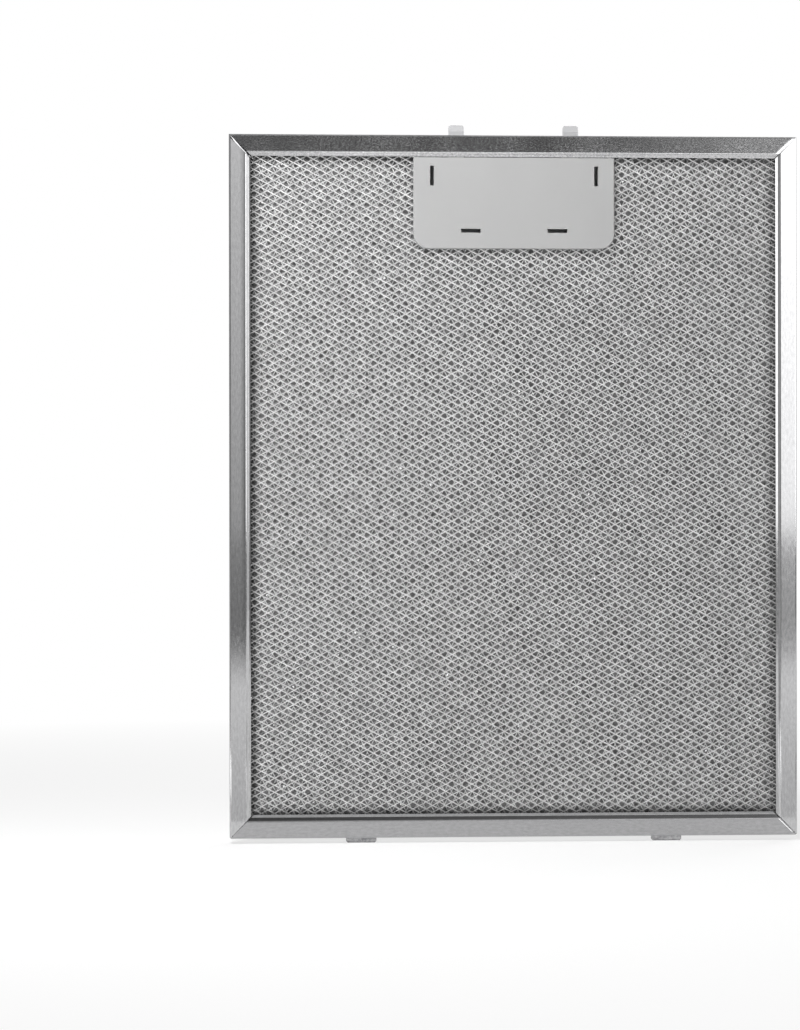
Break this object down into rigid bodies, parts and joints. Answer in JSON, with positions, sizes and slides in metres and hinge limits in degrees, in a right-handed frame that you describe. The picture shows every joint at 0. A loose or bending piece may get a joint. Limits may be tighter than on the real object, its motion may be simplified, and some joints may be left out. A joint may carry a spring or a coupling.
{
  "type": "range hood grease filter cassette",
  "caption": "Rectangular aluminium mesh grease filter cassette of a range hood, with a folded channel frame, lower lugs and a sprung finger latch.",
  "frame": {"origin": "middle of the lower edge, on the outside of the lower rail, half way through the cassette's depth", "axes": "+Z from the lower edge with the lugs to the upper edge with the latch, +Y out of the cook's side with the finger recess, -Y out of the motor side"},
  "size_m": [0.26, 0.009, 0.3272],
  "materials": {
    "frame_aluminium": "satin mill finish, roll formed",
    "lug_aluminium": "pressed, dull",
    "mesh_aluminium": "expanded mesh, bright cut edges",
    "foil_aluminium": "expanded foil",
    "plate_plastic": "moulded, fine matt",
    "housing_plastic": "moulded, fine matt",
    "latch_plastic": "moulded, fine matt",
    "spring_steel": "drawn wire"
  },
  "bodies": {
    "cassette": {"frame_strip": "frame_aluminium", "top_rail": "frame_aluminium", "corner_key_left": "frame_aluminium", "corner_key_right": "frame_aluminium", "lug_left": "lug_aluminium", "lug_right": "lug_aluminium", "back_face_mesh": "mesh_aluminium", "front_face_mesh": "mesh_aluminium", "inner_mesh_1": "foil_aluminium", "inner_mesh_2": "foil_aluminium", "inner_mesh_3": "foil_aluminium", "inner_mesh_4": "foil_aluminium", "inner_mesh_5": "foil_aluminium", "inner_mesh_6": "foil_aluminium", "inner_mesh_7": "foil_aluminium", "handle_back_plate": "plate_plastic", "handle_housing": "housing_plastic", "latch_spring_left": "spring_steel", "latch_spring_right": "spring_steel"},
    "latch": {"latch_slider": "latch_plastic"}
  },
  "joints": [
    {"name": "latch_slide", "type": "slide", "parent": "cassette", "child": "latch", "axis": [0, 0, 1], "range_m": [-0.005, 0], "stiffness_N_per_m": 770, "springref_m": 0.004, "deforming": ["latch_spring_left", "latch_spring_right"]}
  ]
}
